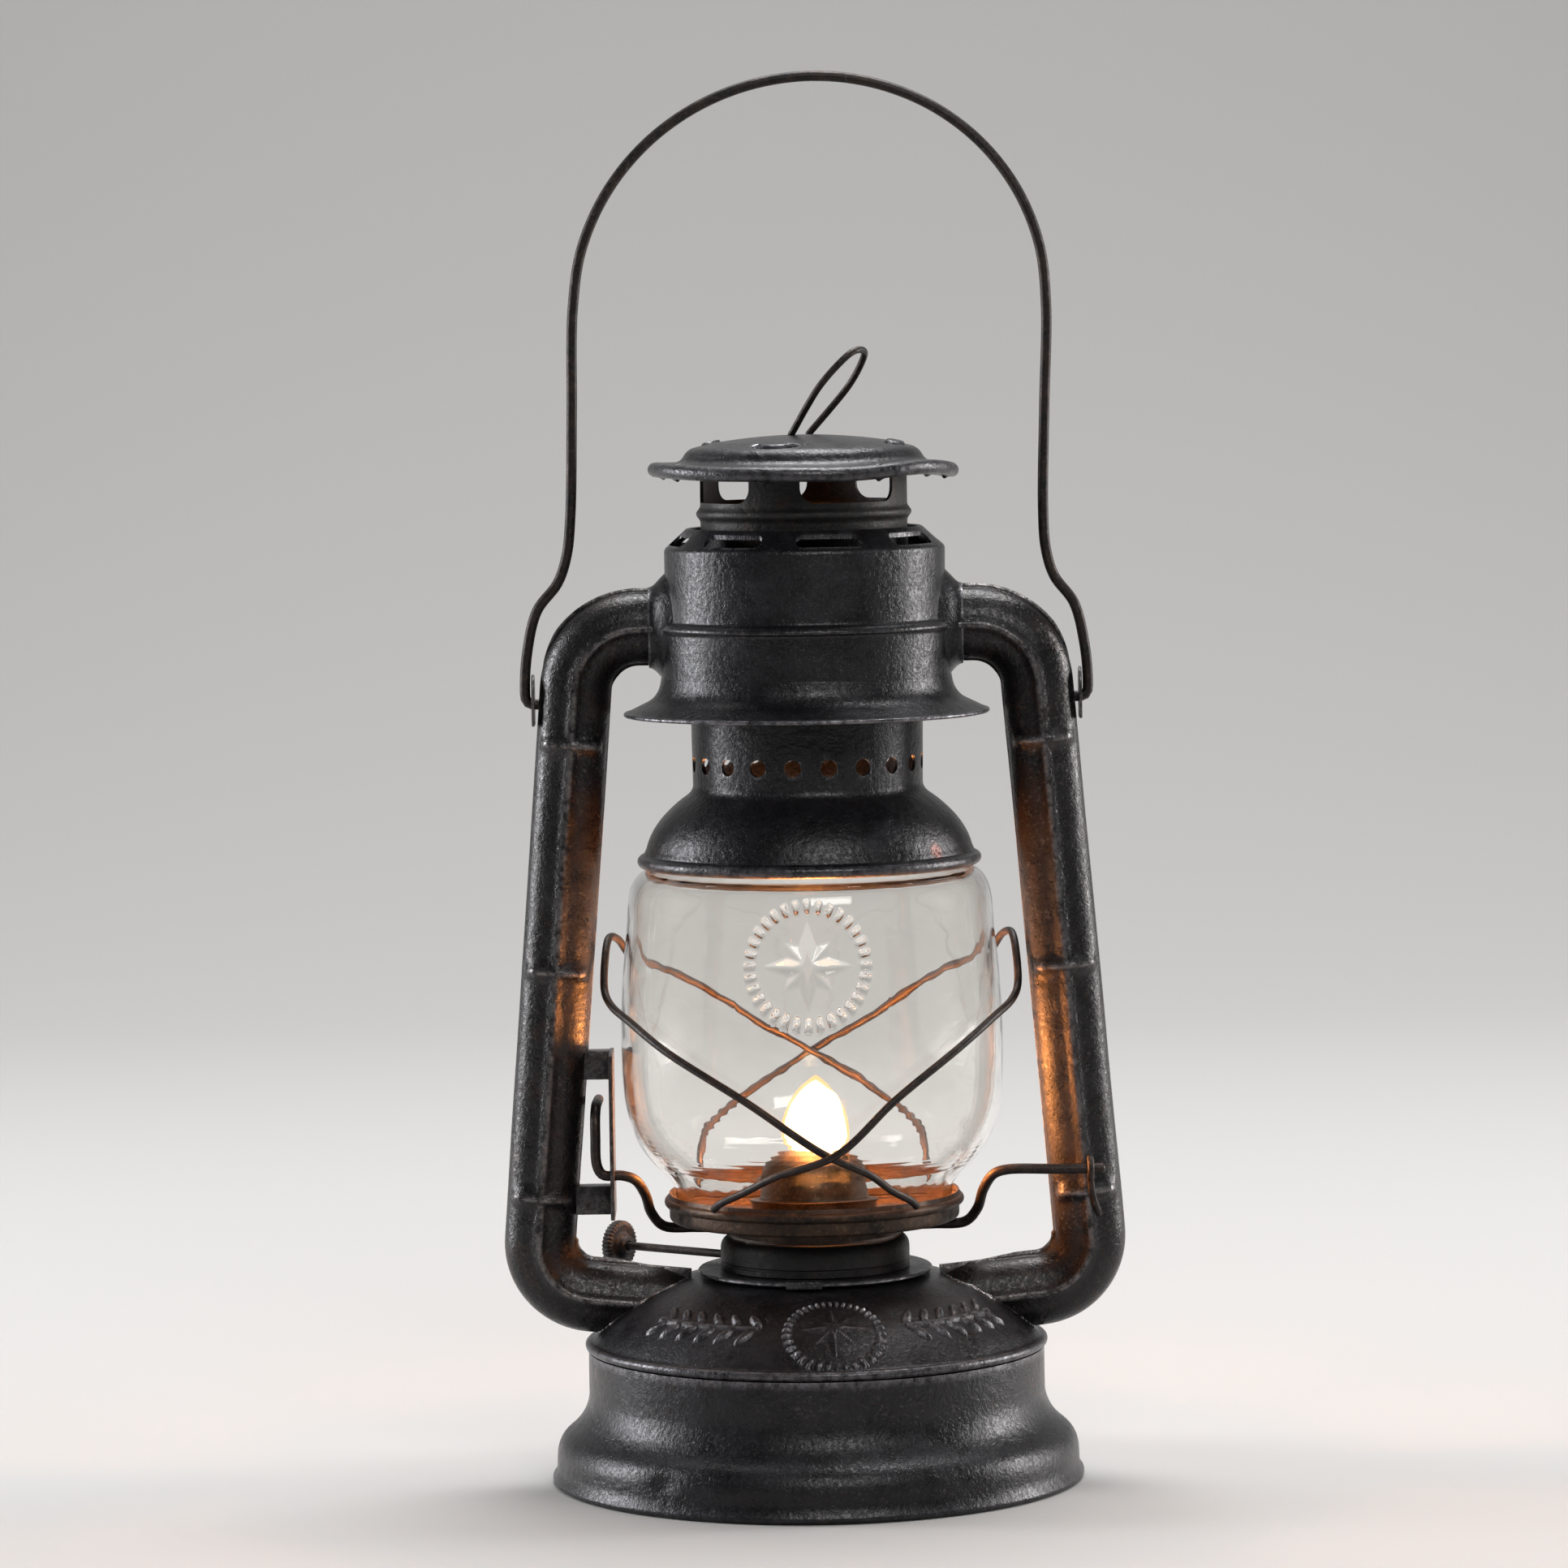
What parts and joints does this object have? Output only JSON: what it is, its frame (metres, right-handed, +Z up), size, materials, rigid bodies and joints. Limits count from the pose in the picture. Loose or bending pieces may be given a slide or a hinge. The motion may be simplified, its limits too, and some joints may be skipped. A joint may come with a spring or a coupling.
{
  "type": "barn lantern",
  "caption": "Wick-burning barn lantern: round fount on a flared foot, glass globe on a lifting plate, side air tubes, sprung chimney and a swinging wire bail.",
  "frame": {"origin": "middle of the foot's underside, on the surface that the lantern stands on", "axes": "+Z up, +X to the right seen from the front, +Y away from the front; the side tubes lie along X and the filler is at the back"},
  "size_m": [0.1514, 0.1298, 0.3413],
  "materials": {
    "tank_steel": "blackened, satin",
    "tube_steel": "blackened, worn to bare metal on edges and ribs",
    "sooted_steel": "soot and heat stained",
    "wire_steel": "dull with light rust",
    "burner_brass": "dull, smoked",
    "wick_cotton": "woven",
    "gasket_cork": "matte",
    "globe_glass": "clear, lightly smoked"
  },
  "bodies": {
    "frame": {"fount_body": "tank_steel", "fount_bottom": "tank_steel", "fount_top": "tank_steel", "fount_collar": "tank_steel", "filler_neck": "burner_brass", "burner_basket": "tank_steel", "burner_throat": "burner_brass", "burner_cone": "burner_brass", "wick_tube": "burner_brass", "left_tube_front": "tube_steel", "left_tube_rear": "tube_steel", "right_tube_front": "tube_steel", "right_tube_rear": "tube_steel", "air_chamber": "tank_steel", "chamber_skirt": "tank_steel", "chimney_guide": "tank_steel", "chimney_spring": "wire_steel", "left_bail_ear": "tube_steel", "right_bail_ear": "tube_steel", "lift_bracket": "tube_steel", "lift_eye": "wire_steel"},
    "filler_cap": {"filler_cap": "tank_steel", "filler_gasket": "gasket_cork"},
    "wick_drive": {"wick_shaft": "wire_steel", "wick_wheel_inner": "burner_brass", "wick_wheel_outer": "burner_brass", "wick_knob": "tank_steel"},
    "wick": {"wick": "wick_cotton"},
    "globe_carriage": {"globe_plate": "sooted_steel", "globe": "globe_glass", "guard_wire_left": "wire_steel", "guard_wire_right": "wire_steel"},
    "lift_crank": {"lift_crank": "wire_steel"},
    "chimney": {"chimney_bell": "tank_steel", "chimney_crown": "sooted_steel", "hood_cap": "tank_steel"},
    "lift_ring": {"lift_ring": "wire_steel"},
    "bail": {"bail": "wire_steel"}
  },
  "joints": [
    {"name": "bail_swing", "type": "hinge", "parent": "frame", "child": "bail", "pos_m": [0, 0, 0.1898], "axis": [1, 0, 0], "range_deg": [-150, 150]},
    {"name": "globe_lift", "type": "slide", "parent": "frame", "child": "globe_carriage", "axis": [0, 0, 1], "range_m": [0, 0.01]},
    {"name": "lever_swing", "type": "hinge", "parent": "frame", "child": "lift_crank", "pos_m": [0, -0.0104, 0.076], "axis": [1, 0, 0], "range_deg": [0, 16.1]},
    {"name": "chimney_slide", "type": "slide", "parent": "globe_carriage", "child": "chimney", "axis": [0, 0, 1], "range_m": [0, 0.008], "stiffness_N_per_m": 120, "springref_m": -0.01, "deforming": ["chimney_spring"]},
    {"name": "ring_hinge", "type": "hinge", "parent": "chimney", "child": "lift_ring", "pos_m": [0, 0, 0.2549], "axis": [0.5, 0.866, 0], "range_deg": [-120, 48]},
    {"name": "wick_turn", "type": "hinge", "parent": "frame", "child": "wick_drive", "pos_m": [-0.00252, -0.0036, 0.0535], "axis": [0.8192, -0.5736, 0], "range_deg": [-77, 77]},
    {"name": "wick_slide", "type": "slide", "parent": "frame", "child": "wick", "axis": [0, 0, 1], "range_m": [-0.004, 0.004]},
    {"name": "filler_cap_lift", "type": "slide", "parent": "frame", "child": "filler_cap", "axis": [0, 0.515, 0.8572], "range_m": [0, 0.025]}
  ],
  "couplings": [
    {"joint": "lever_swing", "follows": "globe_lift", "rad_per_m": 27.93},
    {"joint": "wick_turn", "follows": "wick_slide", "rad_per_m": 333.33}
  ]
}
